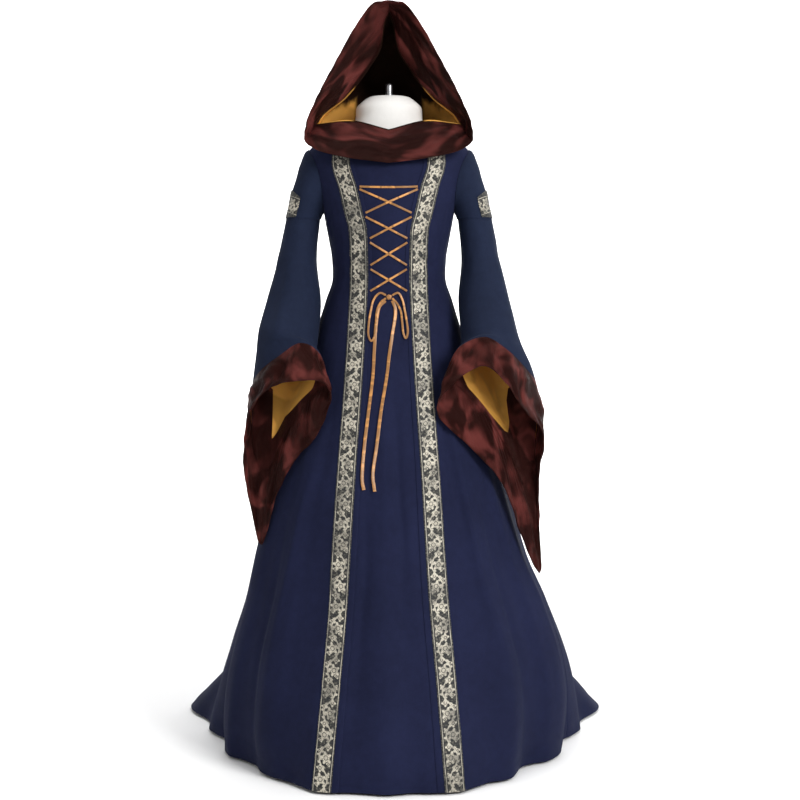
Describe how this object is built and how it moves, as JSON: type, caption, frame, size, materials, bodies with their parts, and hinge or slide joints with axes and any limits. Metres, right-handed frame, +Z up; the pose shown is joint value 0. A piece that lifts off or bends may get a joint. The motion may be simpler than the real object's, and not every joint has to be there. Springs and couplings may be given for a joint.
{
  "type": "hooded laced gown on a dress form with stand",
  "caption": "Floor-length hooded gown with laced front, trumpet sleeves and short train, worn by a limbless dress form on a pole stand.",
  "frame": {"origin": "under the middle of the whole object's box, on the floor", "axes": "+Z up; the gown faces -Y, its train runs out towards +Y; +X is the viewer's right"},
  "size_m": [1.0242, 1.1324, 1.684],
  "materials": {
    "navy_cloth": "plain woven cloth, matt, with a soft nap",
    "maroon_satin": "satin with crushed highlights",
    "ochre_lining": "light satin lining",
    "floral_ribbon": "woven floral brocade, ivory and grey on near-black",
    "lace_cord": "narrow satin ribbon",
    "form_cover": "white jersey over the form",
    "stand_metal": "satin grey steel"
  },
  "bodies": {
    "root": {"centre_front_panel": "navy_cloth", "side_front_left": "navy_cloth", "side_front_right": "navy_cloth", "side_back_left": "navy_cloth", "side_back_right": "navy_cloth", "back_left": "navy_cloth", "back_right": "navy_cloth", "front_trim_left": "floral_ribbon", "front_trim_right": "floral_ribbon", "upper_sleeve_left": "navy_cloth", "upper_sleeve_right": "navy_cloth", "armband_left": "floral_ribbon", "armband_right": "floral_ribbon", "lower_sleeve_left": "navy_cloth", "lower_sleeve_right": "navy_cloth", "sleeve_lining_left": "ochre_lining", "sleeve_lining_right": "ochre_lining", "cuff_band_left": "maroon_satin", "cuff_band_right": "maroon_satin", "hood_band": "maroon_satin", "hood_left": "navy_cloth", "hood_right": "navy_cloth", "hood_lining": "ochre_lining", "lace_top": "lace_cord", "lace_1a": "lace_cord", "lace_1b": "lace_cord", "lace_2a": "lace_cord", "lace_2b": "lace_cord", "lace_3a": "lace_cord", "lace_3b": "lace_cord", "lace_4a": "lace_cord", "lace_4b": "lace_cord", "bow_loop_left": "lace_cord", "bow_loop_right": "lace_cord", "lace_tail_left": "lace_cord", "lace_tail_right": "lace_cord", "bow_knot": "lace_cord", "form_torso": "form_cover", "form_knob": "stand_metal", "stand_pole": "stand_metal", "stand_base": "stand_metal"}
  },
  "joints": []
}
